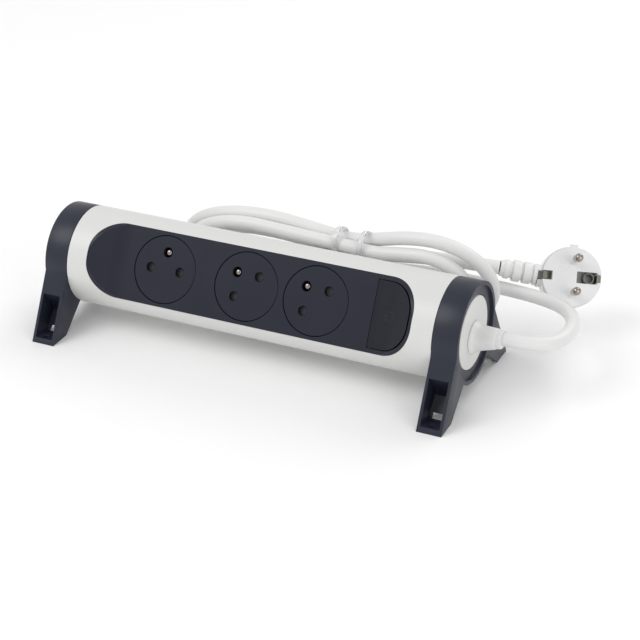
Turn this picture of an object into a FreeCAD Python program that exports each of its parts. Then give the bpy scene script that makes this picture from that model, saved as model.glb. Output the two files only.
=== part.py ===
# Rotating three-way power strip: a round barrel with three sprung socket discs and a switch,
# turning between two footed end brackets, with its mains lead tied in a hank behind it.
# Frame: X along the barrel, Y to the back, Z up, origin on the standing surface under the
# middle of the barrel.  Millimetres.
import FreeCAD, Part
import Sketcher
import math
import os

V = FreeCAD.Vector
doc = FreeCAD.newDocument("power_strip")

# ---------------------------------------------------------------- driving dimensions
DIMENSIONS = [
    ("tube_radius", 29.0, "outer radius of the barrel and of the bracket rings"),
    ("shell_wall", 2.2, "wall of the two barrel shells"),
    ("shell_length", 228.0, "length of the shells between the brackets"),
    ("seam_offset", 2.5, "seam between the shells, behind the barrel axis"),
    ("axis_height", 37.5, "barrel axis above the standing surface"),
    ("face_tilt", 29.0, "angle of the socket face's normal above the horizontal"),
    ("face_height", 19.4, "flat socket face, measured from the barrel axis"),
    ("panel_length", 202.6, "length of the face panel"),
    ("panel_width", 43.2, "width of the face panel"),
    ("panel_corner", 18.0, "corner radius of the face panel"),
    ("panel_thickness", 3.2, "thickness of the face panel"),
    ("ramp_start", 84.0, "where the face begins to rise to the barrel's crown"),
    ("crease_radius", 25.0, "rounding where the flat meets the ramp"),
    ("panel_gap", 0.15, "gap between the face panel and the front shell"),
    ("disc_radius", 19.5, "radius of a socket disc"),
    ("disc_gap", 0.3, "gap round a socket disc"),
    ("disc_thickness", 2.5, "top of a socket disc"),
    ("disc_skirt", 8.0, "depth of a socket disc's guide skirt"),
    ("disc_drop", 0.1, "how far a disc's face lies under the panel face"),
    ("guide_wall", 1.4, "wall of the guide ring round a disc"),
    ("guide_bottom", 3.0, "lower edge of a guide ring, from the barrel axis"),
    ("socket_one_x", -55.0, "centre of the left socket"),
    ("socket_two_x", -2.65, "centre of the middle socket"),
    ("socket_three_x", 40.5, "centre of the right socket"),
    ("skew_turn", 45.0, "turn of the middle and right sockets"),
    ("contact_pitch", 19.0, "spacing of the line and neutral holes"),
    ("contact_hole", 2.7, "radius of a line or neutral hole"),
    ("earth_offset", 10.0, "earth pin from the line of the contact holes"),
    ("earth_hole", 2.9, "radius of the earth pin's hole in the disc"),
    ("earth_pin", 2.4, "radius of an earth pin"),
    ("button_left", 75.2, "straight hinge edge of the switch button"),
    ("button_inset", 2.8, "switch button inside the panel's outline"),
    ("button_gap", 0.4, "gap above and below the switch button"),
    ("button_end_gap", 1.0, "gap at the free end of the switch button"),
    ("button_thickness", 2.6, "thickness of the switch button"),
    ("hinge_x", 76.2, "hinge line of the switch button along the barrel"),
    ("hinge_height", 17.9, "hinge line of the switch button from the barrel axis"),
    ("trunnion", 0.9, "radius of the switch button's trunnions"),
    ("stem_x", 88.0, "push stem of the switch button"),
    ("bracket_inner_x", 114.4, "inner face of a bracket"),
    ("bracket_width", 14.6, "width of a bracket along the barrel"),
    ("bore_radius", 25.0, "bore of a bracket that the barrel turns in"),
    ("lip_radius", 21.25, "bore of the bracket's retaining lip"),
    ("lip_start", 10.0, "retaining lip from the bracket's inner face"),
    ("rim_radius", 26.6, "inside of the bracket's outer rim"),
    ("rim_depth", 1.8, "depth of the face inside the outer rim"),
    ("turn_gap", 0.3, "gap between the barrel and a bracket"),
    ("foot_reach", 50.0, "foot tip from the axis plane, front and back"),
    ("foot_length", 14.2, "length of a foot where it stands"),
    ("foot_wall", 1.7, "side walls of the leg pocket"),
    ("foot_floor", 2.6, "floor of the leg pocket"),
    ("pocket_top", 25.8, "upper edge of the leg pocket"),
    ("arch_reach", 38.0, "front of the small arch under a leg's heel, from the axis plane"),
    ("arch_height", 4.0, "height of the arch under a leg's heel"),
    ("foot_hole", 1.75, "radius of a foot's screw hole"),
    ("foot_hole_reach", 45.4, "screw hole from the axis plane"),
    ("cap_face_x", 127.5, "outer face of an end cap"),
    ("cap_radius", 20.9, "end cap's visible disc"),
    ("carrier_top", -11.0, "top of the contact carrier"),
    ("carrier_plate", 3.0, "thickness of the contact carrier"),
    ("cord_radius", 4.0, "radius of the mains lead"),
    ("relief_end", 145.0, "outer end of the strain relief"),
    ("plug_x", 156.4, "middle of the plug's face"),
    ("plug_y", 80.7, "middle of the plug's face"),
    ("plug_z", 38.6, "middle of the plug's face"),
    ("plug_yaw", 25.5, "turn of the plug about the vertical"),
    ("plug_pitch", 6.8, "pitch of the plug"),
    ("plug_roll", 57.3, "roll that faces the pins forward and up"),
    ("plug_radius", 17.0, "radius of the plug's face"),
    ("plug_face", 3.4, "thickness of the plug's face disc, in front of the seam groove"),
    ("plug_depth", 20.5, "depth of the plug's body behind its face"),
    ("plug_pin", 2.4, "radius of a plug pin"),
    ("plug_reach", 19.0, "length of a plug pin"),
    ("hank_lean", 12.0, "lean of the hank towards the barrel"),
    ("hank_depth", 17.0, "thickness of the hank"),
    ("hank_foot_y", 57.0, "middle of the hank's foot behind the axis plane"),
]

sheet = doc.addObject("Spreadsheet::Sheet", "Size")
for row, (alias, number, note) in enumerate(DIMENSIONS, 1):
    sheet.set("A%d" % row, note)
    sheet.set("B%d" % row, str(number))
    sheet.setAlias("B%d" % row, alias)
doc.recompute()

parts = []


def size(expression):
    """The number that an expression on the sheet comes to."""
    return float(sheet.evalExpression(str(expression)))


def keep(thing, label):
    """Names a finished sub-part, which is written to its own file."""
    thing.Label = label
    parts.append(thing)
    return thing


def on_barrel(thing, x=0.0, y=0.0, turn=0.0):
    """Places a piece drawn face-up about the barrel axis into the tilted barrel."""
    tilt = FreeCAD.Rotation(V(1, 0, 0), 90.0 - size("Size.face_tilt"))
    barrel = FreeCAD.Placement(V(0, 0, size("Size.axis_height")), tilt)
    spot = FreeCAD.Placement(V(x, y, 0), FreeCAD.Rotation(V(0, 0, 1), turn))
    thing.Placement = barrel.multiply(spot)
    if turn == 0.0:
        thing.setExpression("Placement.Rotation.Angle", "90 - Size.face_tilt")
    thing.setExpression("Placement.Base.z", "Size.axis_height + %r" % (thing.Placement.Base.z
                                                                       - size("Size.axis_height")))


# ---------------------------------------------------------------- sketch and feature helpers
def new_body(name):
    return doc.addObject("PartDesign::Body", name)


def new_sketch(body, role, offset="0"):
    """A sketch on one of the body's own origin planes, moved along that plane's normal."""
    plane = [p for p in body.Origin.OriginFeatures if p.Role == role][0]
    sketch = body.newObject("Sketcher::SketchObject", "Sketch")
    sketch.AttachmentSupport = [(plane, "")]
    sketch.MapMode = "FlatFace"
    sketch.setExpression("AttachmentOffset.Base.z", offset)
    return sketch


def constrain(sketch, kind, first, expression):
    """Adds one dimension and binds it to its expression."""
    index = sketch.addConstraint(Sketcher.Constraint(kind, *first, size(expression)))
    sketch.setExpression("Constraints[%d]" % index, str(expression))


def pin_point(sketch, element, end, point):
    constrain(sketch, "DistanceX", (-1, 1, element, end), point[0])
    constrain(sketch, "DistanceY", (-1, 1, element, end), point[1])


def polygon(sketch, points):
    """A closed straight-sided outline through points given as pairs of expressions."""
    corners = [V(size(x), size(y), 0) for x, y in points]
    start = sketch.GeometryCount
    count = len(corners)
    for i in range(count):
        sketch.addGeometry(Part.LineSegment(corners[i], corners[(i + 1) % count]), False)
    for i in range(count):
        follower = start + (i + 1) % count
        sketch.addConstraint(Sketcher.Constraint("Coincident", start + i, 2, follower, 1))
    for i, point in enumerate(points):
        pin_point(sketch, start + i, 1, point)


def circle(sketch, x, y, radius):
    centre = V(size(x), size(y), 0)
    index = sketch.addGeometry(Part.Circle(centre, V(0, 0, 1), size(radius)), False)
    constrain(sketch, "Radius", (index,), radius)
    pin_point(sketch, index, 3, (x, y))


def slab_outline(sketch, left, right, half, left_radius, right_radius):
    """A rectangle about the X axis, its left and right corners rounded, or sharp for None."""
    nodes = []
    corner_data = [(right, half, right_radius, 1, 1), (left, half, left_radius, -1, 1),
                   (left, half, left_radius, -1, -1), (right, half, right_radius, 1, -1)]
    for x, y, radius, side, level in corner_data:
        edge_x = "(%s)" % x
        edge_y = "%d * (%s)" % (level, y)
        if radius is None:
            nodes.append([(edge_x, edge_y)])
            continue
        along = ("%s - %d * (%s)" % (edge_x, side, radius), edge_y)
        down = (edge_x, "%s - %d * (%s)" % (edge_y, level, radius))
        order = [down, along] if side == level else [along, down]
        nodes.append(order + [radius, (along[0], down[1])])
    elements = []
    for i, node in enumerate(nodes):
        if len(node) > 1:
            ends = [V(size(x), size(y), 0) for x, y in node[:2]]
            centre = V(size(node[3][0]), size(node[3][1]), 0)
            bow = (ends[0] + ends[1]) * 0.5 - centre
            middle = centre + bow.normalize() * size(node[2])
            index = sketch.addGeometry(Part.Arc(ends[0], middle, ends[1]), False)
            elements.append(("arc", index, node[:2], node[2]))
        following = nodes[(i + 1) % 4][0]
        leaving = node[1] if len(node) > 1 else node[0]
        start = V(size(leaving[0]), size(leaving[1]), 0)
        end = V(size(following[0]), size(following[1]), 0)
        index = sketch.addGeometry(Part.LineSegment(start, end), False)
        elements.append(("line", index, (leaving, following), None))
    for kind, index, ends, radius in elements:
        if kind == "line":
            pin_point(sketch, index, 1, ends[0])
            pin_point(sketch, index, 2, ends[1])
    for i, (kind, index, ends, radius) in enumerate(elements):
        if kind == "arc":
            before = elements[i - 1][1]
            after = elements[(i + 1) % len(elements)][1]
            arc = sketch.Geometry[index]
            flipped = arc.StartPoint.distanceToPoint(sketch.Geometry[before].EndPoint) > 1e-3
            head, tail = (2, 1) if flipped else (1, 2)
            sketch.addConstraint(Sketcher.Constraint("Coincident", before, 2, index, head))
            sketch.addConstraint(Sketcher.Constraint("Coincident", index, tail, after, 1))
            constrain(sketch, "Radius", (index,), radius)


def pad(body, sketch, length, back=False):
    feature = body.newObject("PartDesign::Pad", "Pad")
    feature.Profile = sketch
    feature.Reversed = back
    feature.setExpression("Length", str(length))
    sketch.Visibility = False
    doc.recompute()
    return feature


def pocket(body, sketch, length, back=False):
    """Cuts along the sketch's normal, or against it when back is set, and checks that it cut."""
    before = body.Shape.Volume
    feature = body.newObject("PartDesign::Pocket", "Pocket")
    feature.Profile = sketch
    feature.Reversed = not back
    feature.setExpression("Length", str(length))
    doc.recompute()
    if body.Shape.Volume >= before - 1e-3:
        raise RuntimeError("a pocket in %s cut nothing" % body.Name)
    return feature


def revolve(body, sketch):
    """Turns a sketch about its own horizontal axis."""
    feature = body.newObject("PartDesign::Revolution", "Revolution")
    feature.Profile = sketch
    feature.ReferenceAxis = (sketch, ["H_Axis"])
    feature.Angle = 360.0
    doc.recompute()
    return feature


def dress(body, kind, amount, chosen):
    """Fillets or chamfers the edges of the body's tip that the test chooses."""
    tip = body.Tip
    names = ["Edge%d" % (i + 1) for i, edge in enumerate(tip.Shape.Edges) if chosen(edge)]
    if not names:
        raise RuntimeError("no edge found to dress on %s" % body.Name)
    feature = body.newObject("PartDesign::" + kind, kind)
    feature.Base = (tip, names)
    feature.setExpression("Radius" if kind == "Fillet" else "Size", str(amount))
    doc.recompute()
    return feature


def block(name, x, y, z):
    """A Part box between pairs of expressions along each axis."""
    box = doc.addObject("Part::Box", name)
    for prop, (low, high) in (("Length", x), ("Width", y), ("Height", z)):
        box.setExpression(prop, "(%s) - (%s)" % (high, low))
    for axis, (low, high) in (("x", x), ("y", y), ("z", z)):
        box.setExpression("Placement.Base." + axis, str(low))
    return box


def rod(name, radius, x, y, z):
    """An upright Part cylinder at x, y between the pair of heights z."""
    cylinder = doc.addObject("Part::Cylinder", name)
    cylinder.setExpression("Radius", str(radius))
    cylinder.setExpression("Height", "(%s) - (%s)" % (z[1], z[0]))
    for axis, low in (("x", x), ("y", y), ("z", z[0])):
        cylinder.setExpression("Placement.Base." + axis, str(low))
    return cylinder


def joined(name, pieces):
    fuse = doc.addObject("Part::MultiFuse", name)
    fuse.Shapes = pieces
    return fuse


def cut_from(name, base, tools):
    cut = doc.addObject("Part::Cut", name)
    cut.Base = base
    cut.Tool = tools[0] if len(tools) == 1 else joined(name + "_tools", tools)
    return cut


def raw(label, shape):
    """A piece whose shape is worked out with Part's own functions."""
    thing = doc.addObject("Part::Feature", label)
    thing.Shape = shape
    return keep(thing, label)


# The sockets: name, expression for its centre, and its turn in the panel.
SOCKETS = [("1", "Size.socket_one_x", 0.0),
           ("2", "Size.socket_two_x", size("Size.skew_turn")),
           ("3", "Size.socket_three_x", size("Size.skew_turn"))]
END_SCREWS = [(sx, sy) for sx in (-1, 1) for sy in (-1, 1)]
SCREW_X = 105.0
SCREW_Y = 17.0
HALF = "Size.shell_length / 2"


# ---------------------------------------------------------------- barrel shells
def shell_tube(name):
    body = new_body(name)
    ring = new_sketch(body, "YZ_Plane", "-" + HALF)
    circle(ring, "0", "0", "Size.tube_radius")
    circle(ring, "0", "0", "Size.tube_radius - Size.shell_wall")
    pad(body, ring, "Size.shell_length")
    return body


def clear_half(body, low, high):
    """Removes the half of a tube between two heights."""
    half = new_sketch(body, "YZ_Plane", "-" + HALF + " - 1")
    polygon(half, [("-40", low), ("40", low), ("40", high), ("-40", high)])
    pocket(body, half, "Size.shell_length + 2")


def front_shell():
    body = shell_tube("front_shell")
    clear_half(body, "-40", "-Size.seam_offset")
    opening = new_sketch(body, "XY_Plane")
    slab_outline(opening, "-Size.panel_length / 2 - Size.panel_gap",
                 "Size.panel_length / 2 + Size.panel_gap",
                 "Size.panel_width / 2 + Size.panel_gap",
                 "Size.panel_corner + Size.panel_gap", "Size.panel_corner + Size.panel_gap")
    pocket(body, opening, "40")
    pillars = new_sketch(body, "XY_Plane", "-Size.seam_offset")
    for sx, sy in END_SCREWS:
        circle(pillars, sx * SCREW_X, sy * SCREW_Y, "3.5")
    pad(body, pillars, "20")
    bores = new_sketch(body, "XY_Plane", "-Size.seam_offset")
    for sx, sy in END_SCREWS:
        circle(bores, sx * SCREW_X, sy * SCREW_Y, "1.55")
    pocket(body, bores, "13")
    on_barrel(keep(body, "front_shell"))


def rear_shell():
    body = shell_tube("rear_shell")
    clear_half(body, "-Size.seam_offset", "40")
    bosses = new_sketch(body, "XY_Plane", "-Size.seam_offset")
    for sx, sy in END_SCREWS:
        circle(bosses, sx * SCREW_X, sy * SCREW_Y, "4")
    pad(body, bosses, "16.5", back=True)
    posts = new_sketch(body, "XY_Plane", "Size.carrier_top - Size.carrier_plate")
    for x in (-80, 68):
        for y in (-8.5, 8.5):
            circle(posts, x, y, "3")
    pad(body, posts, "11", back=True)
    post_holes = new_sketch(body, "XY_Plane", "Size.carrier_top - Size.carrier_plate")
    for x in (-80, 68):
        for y in (-8.5, 8.5):
            circle(post_holes, x, y, "1.55")
    pocket(body, post_holes, "8", back=True)
    head_holes = new_sketch(body, "XY_Plane", "-15")
    for sx, sy in END_SCREWS:
        circle(head_holes, sx * SCREW_X, sy * SCREW_Y, "3.4")
    pocket(body, head_holes, "15", back=True)
    shaft_holes = new_sketch(body, "XY_Plane", "-16")
    for sx, sy in END_SCREWS:
        circle(shaft_holes, sx * SCREW_X, sy * SCREW_Y, "1.7")
    pocket(body, shaft_holes, "20")
    on_barrel(keep(body, "rear_shell"))


def screw(head_radius, head_height, shaft_radius, length):
    """A cross-recessed screw: head seat at height 0, head below it, shaft upwards."""
    head = Part.makeCylinder(head_radius, head_height, V(0, 0, -head_height))
    shaft = Part.makeCylinder(shaft_radius, length)
    slot = Part.makeBox(head_radius * 1.2, 0.7, 1.2, V(-head_radius * 0.6, -0.35, -head_height))
    cross = Part.makeBox(0.7, head_radius * 1.2, 1.2, V(-0.35, -head_radius * 0.6, -head_height))
    return head.fuse(shaft).cut(slot).cut(cross).removeSplitter()


def screw_groups():
    shell = []
    for sx, sy in END_SCREWS:
        one = screw(3.1, 2.2, 1.5, 23.0)
        one.translate(V(sx * SCREW_X, sy * SCREW_Y, -15.0))
        shell.append(one)
    on_barrel(raw("shell_screws", Part.makeCompound(shell)))
    carrier = []
    seat = size("Size.carrier_top")
    for x in (-80, 68):
        for y in (-8.5, 8.5):
            one = screw(2.6, 1.8, 1.5, 9.0)
            one.rotate(V(0, 0, 0), V(1, 0, 0), 180)
            one.translate(V(x, y, seat))
            carrier.append(one)
    on_barrel(raw("carrier_screws", Part.makeCompound(carrier)))


# ---------------------------------------------------------------- face panel and button
def face_profile(sketch, left, right, thickness):
    """Side view of the face: flat over the sockets, rising at both ends to the crown."""
    rise = "Size.tube_radius - Size.face_height"
    run = "(Size.panel_length / 2 - Size.ramp_start)"
    floor = "Size.face_height - %s" % thickness
    points = [("Size.ramp_start", "Size.face_height"),
              (right, "Size.face_height + (%s) * (%s - Size.ramp_start) / %s" % (rise, right, run))]
    points += [(right, "Size.face_height + (%s) * (%s - Size.ramp_start) / %s - 1.5 * %s"
                % (rise, right, run, thickness)), ("Size.ramp_start + 1", floor)]
    if left is None:
        ends = "-Size.panel_length / 2"
        points += [("-Size.ramp_start - 1", floor),
                   (ends, "Size.tube_radius - 1.5 * %s" % thickness), (ends, "Size.tube_radius"),
                   ("-Size.ramp_start", "Size.face_height")]
    else:
        points += [(left, floor), (left, "Size.face_height")]
    polygon(sketch, points)


def soften_creases(body):
    """Rounds the hollow lines where the flat face turns up into its ramps."""
    level = size("Size.face_height")
    reach = size("Size.ramp_start")

    def is_crease(edge):
        middle = edge.CenterOfMass
        return abs(middle.z - level) < 0.05 and abs(abs(middle.x) - reach) < 0.05
    dress(body, "Fillet", "Size.crease_radius", is_crease)


def trim_to_tube(body):
    """Takes away whatever stands outside the barrel's round."""
    outside = new_sketch(body, "YZ_Plane", "-" + HALF)
    polygon(outside, [("-45", "-45"), ("45", "-45"), ("45", "45"), ("-45", "45")])
    circle(outside, "0", "0", "Size.tube_radius")
    pocket(body, outside, "Size.shell_length")


def face_panel():
    body = new_body("face_panel")
    side = new_sketch(body, "XZ_Plane", "-Size.panel_width / 2 - 1")
    face_profile(side, None, "Size.panel_length / 2", "Size.panel_thickness")
    pad(body, side, "Size.panel_width + 2")
    soften_creases(body)
    trim_to_tube(body)
    outline = new_sketch(body, "XY_Plane")
    polygon(outline, [("-130", "-45"), ("130", "-45"), ("130", "45"), ("-130", "45")])
    slab_outline(outline, "-Size.panel_length / 2", "Size.panel_length / 2",
                 "Size.panel_width / 2", "Size.panel_corner", "Size.panel_corner")
    pocket(body, outline, "40")
    guides = new_sketch(body, "XY_Plane", "Size.guide_bottom")
    for number, x, turn in SOCKETS:
        circle(guides, x, "0", "Size.disc_radius + Size.disc_gap + Size.guide_wall")
    pad(body, guides, "Size.face_height - Size.panel_thickness - Size.guide_bottom + 0.5")
    wells = new_sketch(body, "XY_Plane")
    for number, x, turn in SOCKETS:
        circle(wells, x, "0", "Size.disc_radius + Size.disc_gap")
    pocket(body, wells, "40")
    window = new_sketch(body, "XY_Plane")
    slab_outline(window, "Size.button_left - 0.3",
                 "Size.panel_length / 2 - Size.button_inset + Size.button_end_gap",
                 "Size.panel_width / 2 - Size.button_inset + Size.button_gap", None,
                 "Size.panel_corner - Size.button_inset + Size.button_gap")
    pocket(body, window, "40")
    sockets = new_sketch(body, "XZ_Plane", "-Size.panel_width / 2 + 1.2")
    circle(sockets, "Size.hinge_x", "Size.hinge_height", "Size.trunnion + 0.1")
    pocket(body, sockets, "Size.panel_width - 2.4")
    on_barrel(keep(body, "face_panel"))


def switch_button():
    body = new_body("switch_button")
    side = new_sketch(body, "XZ_Plane", "-Size.panel_width / 2 - 1")
    face_profile(side, "Size.button_left", "Size.panel_length / 2", "Size.button_thickness")
    pad(body, side, "Size.panel_width + 2")
    soften_creases(body)
    trim_to_tube(body)
    outline = new_sketch(body, "XY_Plane")
    polygon(outline, [("60", "-45"), ("130", "-45"), ("130", "45"), ("60", "45")])
    slab_outline(outline, "Size.button_left", "Size.panel_length / 2 - Size.button_inset",
                 "Size.panel_width / 2 - Size.button_inset", None,
                 "Size.panel_corner - Size.button_inset")
    pocket(body, outline, "40")
    stem = new_sketch(body, "XY_Plane", "14.3")
    circle(stem, "Size.stem_x", "0", "2.6")
    pad(body, stem, "5")
    trunnions = new_sketch(body, "XZ_Plane", "-Size.panel_width / 2 + 1.5")
    circle(trunnions, "Size.hinge_x", "Size.hinge_height", "Size.trunnion")
    pad(body, trunnions, "Size.panel_width - 3")
    on_barrel(keep(body, "switch_button"))


def switch_parts():
    case = block("switch_case", ("79", "97"), ("-9", "9"), ("-7", "9"))
    bore = rod("switch_bore", "2.6", "Size.stem_x", "0", ("3", "10"))
    on_barrel(keep(cut_from("switch_cut", case, [bore]), "switch_body"))
    push = rod("switch_push", "2.5", "Size.stem_x", "0", ("5", "9.5"))
    tip = rod("switch_tip", "2", "Size.stem_x", "0", ("9.5", "13.8"))
    on_barrel(keep(joined("switch_rod", [push, tip]), "switch_plunger"))


# ---------------------------------------------------------------- sockets
def socket_disc(number, x, turn):
    body = new_body("socket_disc_" + number)
    top = "Size.face_height - Size.disc_drop"
    plate = new_sketch(body, "XY_Plane", top + " - Size.disc_thickness")
    circle(plate, "0", "0", "Size.disc_radius")
    pad(body, plate, "Size.disc_thickness")
    skirt = new_sketch(body, "XY_Plane", top + " - Size.disc_thickness")
    circle(skirt, "0", "0", "Size.disc_radius")
    circle(skirt, "0", "0", "Size.disc_radius - 1.5")
    pad(body, skirt, "Size.disc_skirt", back=True)
    boss = new_sketch(body, "XY_Plane", top + " - Size.disc_thickness")
    circle(boss, "0", "0", "2")
    pad(body, boss, "3.5", back=True)
    holes = new_sketch(body, "XY_Plane", top + " - Size.disc_thickness - 1")
    circle(holes, "-Size.contact_pitch / 2", "0", "Size.contact_hole")
    circle(holes, "Size.contact_pitch / 2", "0", "Size.contact_hole")
    circle(holes, "0", "Size.earth_offset", "Size.earth_hole")
    pocket(body, holes, "Size.disc_thickness + 2")
    level = size(top)
    dress(body, "Chamfer", "0.3", lambda e: abs(e.BoundBox.ZMin - level) < 1e-3
          and abs(e.BoundBox.ZMax - level) < 1e-3)
    on_barrel(keep(body, "socket_disc_" + number), size(x), 0.0, turn)


def shutter(number, x, turn):
    """A rotor behind the disc whose two arms close the contact holes until it turns."""
    body = new_body("shutter_" + number)
    low = "Size.face_height - Size.disc_drop - Size.disc_thickness - 2.3"
    arms = new_sketch(body, "XY_Plane", low)
    polygon(arms, [("-12.5", "-3.1"), ("12.5", "-3.1"), ("12.5", "3.1"), ("-12.5", "3.1")])
    pad(body, arms, "2")
    hub = new_sketch(body, "XY_Plane", low + " - 0.8")
    circle(hub, "0", "0", "4")
    pad(body, hub, "2.8")
    bore = new_sketch(body, "XY_Plane", low + " - 2")
    circle(bore, "0", "0", "2.1")
    pocket(body, bore, "6")
    on_barrel(keep(body, "shutter_" + number), size(x), 0.0, turn)


def earth_pin(number, x, turn):
    """A nickel pin riveted through the carrier, with a rounded tip just under the face."""
    body = new_body("earth_pin_" + number)
    top = "Size.face_height - 1"
    shaft = new_sketch(body, "XY_Plane", "Size.carrier_top")
    circle(shaft, "0", "Size.earth_offset", "Size.earth_pin")
    pad(body, shaft, top + " - Size.carrier_top")
    tip = size(top)
    dress(body, "Fillet", "Size.earth_pin - 0.2", lambda e: abs(e.BoundBox.ZMin - tip) < 1e-3
          and abs(e.BoundBox.ZMax - tip) < 1e-3)
    collar = new_sketch(body, "XY_Plane", "Size.carrier_top")
    circle(collar, "0", "Size.earth_offset", "4")
    pad(body, collar, "1.5")
    tail = new_sketch(body, "XY_Plane", "Size.carrier_top")
    circle(tail, "0", "Size.earth_offset", "2")
    pad(body, tail, "7", back=True)
    on_barrel(keep(body, "earth_pin_" + number), size(x), 0.0, turn)


def contact(kind, number, x, side, turn):
    """A sprung brass clip under one contact hole, riveted to its busbar."""
    name = "%s_contact_%s" % (kind, number)
    top = "Size.carrier_top"
    base = block(name + "_base", ("-3", "3"), ("-3.3", "3.3"), (top, top + " + 0.8"))
    leaves = []
    for low in ("-3.1", "2.5"):
        leaves.append(block(name + "_leaf", ("-2.5", "2.5"), (low, low + " + 0.6"),
                            (top + " + 0.8", "1.5")))
    stub = rod(name + "_stub", "1.2", "0", "0", (top + " - Size.carrier_plate", top))
    clip = keep(joined(name + "_clip", [base, stub] + leaves), name)
    angle = math.radians(turn)
    reach = side * size("Size.contact_pitch") / 2
    on_barrel(clip, size(x) + reach * math.cos(angle), reach * math.sin(angle), turn)


def disc_spring(number, x):
    """A compression spring between the carrier and the disc, round the contacts."""
    wire_radius = 0.5
    coil_radius = 16.3
    turns = 7
    arcs_per_turn = 4
    low = size("Size.carrier_top") + wire_radius
    high = size("Size.face_height - Size.disc_drop - Size.disc_thickness") - wire_radius
    marks = []
    for i in range(2 * arcs_per_turn * turns + 1):
        share = i / (2.0 * arcs_per_turn)
        angle = 2 * math.pi * share
        level = low + (high - low) * share / turns
        marks.append(V(coil_radius * math.cos(angle), coil_radius * math.sin(angle), level))
    arcs = [Part.Arc(*marks[i:i + 3]).toShape() for i in range(0, len(marks) - 2, 2)]
    section = Part.Wire(Part.makeCircle(wire_radius, marks[0], V(0, 1, 0)))
    coil = Part.Wire(arcs).makePipeShell([section], True, False)
    on_barrel(raw("disc_spring_" + number, Part.makeCompound([coil])), size(x))


# ---------------------------------------------------------------- carrier and busbars
def hole_rods(name, radius, places, low, high):
    return [rod("%s_%d" % (name, i), radius, x, y, (low, high))
            for i, (x, y) in enumerate(places)]


def socket_point(x, turn, along, across):
    """A point of a turned socket, in barrel coordinates."""
    angle = math.radians(turn)
    return (round(size(x) + along * math.cos(angle) - across * math.sin(angle), 3),
            round(along * math.sin(angle) + across * math.cos(angle), 3))


HALF_PITCH = size("Size.contact_pitch") / 2
LIVE_SPOTS = [socket_point(x, turn, -HALF_PITCH, 0) for number, x, turn in SOCKETS]
NEUTRAL_SPOTS = [socket_point(x, turn, HALF_PITCH, 0) for number, x, turn in SOCKETS]
EARTH_SPOTS = [socket_point(x, turn, 0, size("Size.earth_offset")) for number, x, turn in SOCKETS]


def contact_carrier():
    low = "Size.carrier_top - Size.carrier_plate"
    plate = block("carrier_plate_box", ("-86", "98"), ("-20", "20"), (low, "Size.carrier_top"))
    ribs = [block("carrier_rib", ("-86", "98"), span, (low + " - 4", low))
            for span in (("-19.6", "-18"), ("18", "19.6"))]
    pedestal = block("carrier_pedestal", ("80", "96"), ("-8", "8"), ("Size.carrier_top", "-7"))
    solid = joined("carrier_solid", [plate, pedestal] + ribs)
    drill = ("Size.carrier_top - 5", "Size.carrier_top + 1")
    tools = hole_rods("carrier_contact", "1.25", LIVE_SPOTS + NEUTRAL_SPOTS, *drill)
    tools += hole_rods("carrier_earth", "2.05", EARTH_SPOTS, *drill)
    screws = [(x, y) for x in (-80, 68) for y in (-8.5, 8.5)]
    tools += hole_rods("carrier_screw", "1.6", screws, *drill)
    tools.append(block("carrier_slot", ("57.6", "59.2"), ("-17.4", "-12.6"), drill))
    on_barrel(keep(cut_from("carrier_cut", solid, tools), "contact_carrier"))


def busbar(kind, spots, edge, side):
    """A brass strip under the carrier with one tab to each contact."""
    low = "Size.carrier_top - Size.carrier_plate - 0.8"
    high = "Size.carrier_top - Size.carrier_plate"
    span = sorted([side * edge, side * (edge + 4)])
    strip = block(kind + "_strip", (min(x for x, y in spots) - 3, 60), span, (low, high))
    pieces = [strip]
    for x, y in spots:
        reach = sorted([y - side * 2.5, side * edge])
        pieces.append(block(kind + "_tab", (x - 2.5, x + 2.5), reach, (low, high)))
    if kind == "live":
        pieces.append(block("live_lug", ("58", "58.8"), span, (low, "Size.carrier_top + 4")))
    on_barrel(keep(joined(kind + "_bar", pieces), kind + "_busbar"))


def earth_busbar():
    low = "Size.carrier_top - 6.2"
    strip = block("earth_strip", ("-62", "60"), ("4", "13"), (low, low + " + 0.8"))
    tools = hole_rods("earth_rivet", "2.05", EARTH_SPOTS, low + " - 1", low + " + 2")
    on_barrel(keep(cut_from("earth_bar", strip, tools), "earth_busbar"))


# ---------------------------------------------------------------- end caps and cord entry
def end_cap(name, side):
    """A turned cap: a spigot inside the shells, a hub in the bracket and the visible disc."""
    body = new_body(name)
    profile = new_sketch(body, "XZ_Plane")
    outline = [(109, 26.6), (113.8, 26.6), (113.8, "Size.bore_radius - Size.turn_gap"),
               (118, "Size.bore_radius - Size.turn_gap"), (118, 23.6), (120, 23.6),
               (120, "Size.bore_radius - Size.turn_gap"),
               (124.2, "Size.bore_radius - Size.turn_gap"),
               (124.2, "Size.cap_radius"), ("Size.cap_face_x", "Size.cap_radius")]
    inner = 6.5 if side > 0 else 0
    outline += [("Size.cap_face_x", inner), (125, inner), (125, 18.5), (122, 18.5),
                (122, 22), (109, 22)]
    polygon(profile, [("%d * (%s)" % (side, x), str(r)) for x, r in outline])
    revolve(body, profile)
    level = size("Size.cap_face_x")
    reach = size("Size.cap_radius")
    dress(body, "Fillet", "0.6", lambda e: abs(abs(e.BoundBox.XMin) - level) < 1e-3
          and abs(abs(e.BoundBox.XMax) - level) < 1e-3 and abs(e.BoundBox.ZMax - reach) < 1e-3)
    on_barrel(keep(body, name))


def friction_ring(name, side):
    ring = doc.addObject("Part::Torus", name)
    ring.Radius1 = 24.2
    ring.Radius2 = 0.6
    ring.Placement = FreeCAD.Placement(V(side * 119.0, 0, size("Size.axis_height")),
                                       FreeCAD.Rotation(V(0, 1, 0), 90))
    ring.setExpression("Placement.Base.z", "Size.axis_height")
    keep(ring, name)


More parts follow.
